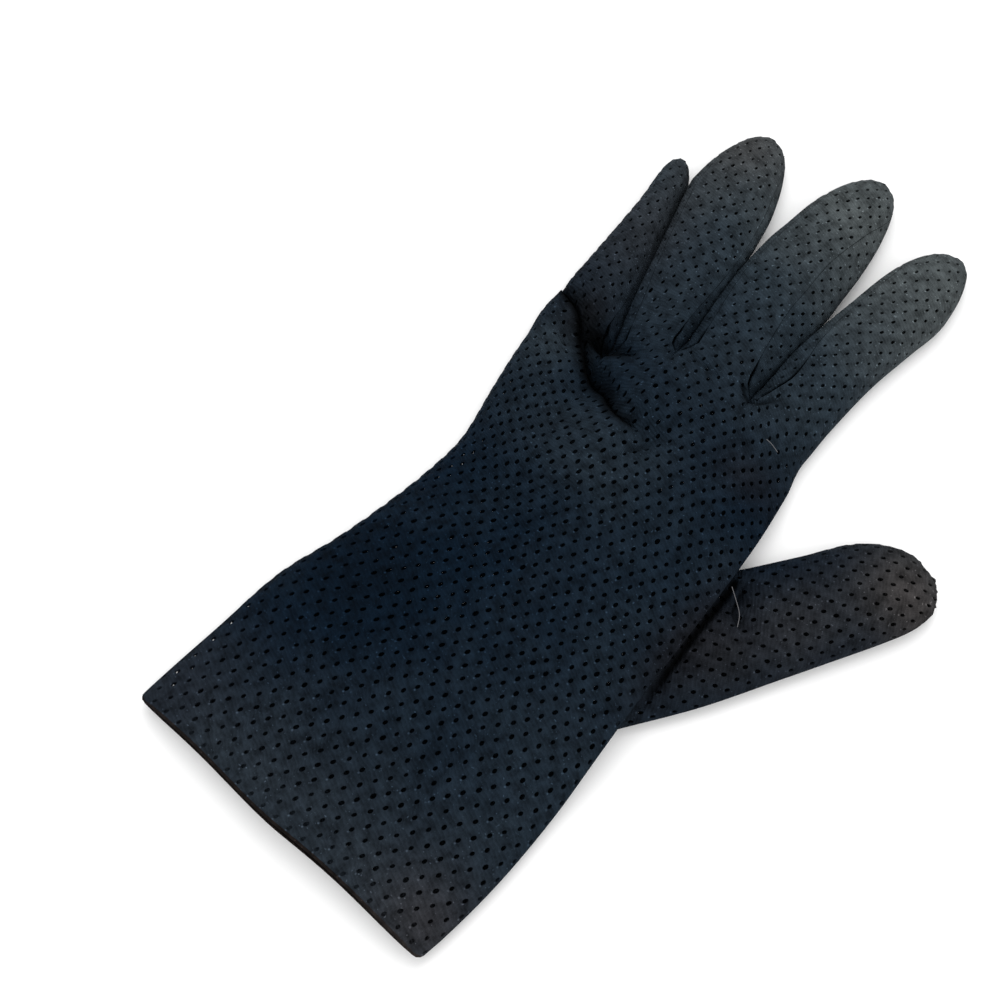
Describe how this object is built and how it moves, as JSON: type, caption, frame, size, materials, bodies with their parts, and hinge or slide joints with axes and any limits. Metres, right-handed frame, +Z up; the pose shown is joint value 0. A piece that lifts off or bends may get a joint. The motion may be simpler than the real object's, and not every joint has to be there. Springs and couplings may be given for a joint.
{
  "type": "wrist length dress glove",
  "caption": "Empty left-hand wrist length dress glove of open eyelet knit, lying palm down with its fingers together and its thumb out to the side.",
  "frame": {"origin": "on the surface that the glove lies on, under the middle of the palm", "axes": "+Z up out of the back of the hand, +Y from the wrist towards the fingertips, +X towards the thumb's side"},
  "size_m": [0.1323, 0.2399, 0.013],
  "materials": {
    "knit": "navy-black open eyelet knit of fine nylon, matt with small glints",
    "knit_strip": "the same knit, cut as narrow strips between the fingers",
    "knit_thumb": "the same knit, a little greyer and browner at the tip"
  },
  "bodies": {
    "root": {"trank": "knit", "fourchette_ring_little": "knit_strip", "fourchette_middle_ring": "knit_strip", "fourchette_index_middle": "knit_strip", "thumb": "knit_thumb"}
  },
  "joints": []
}
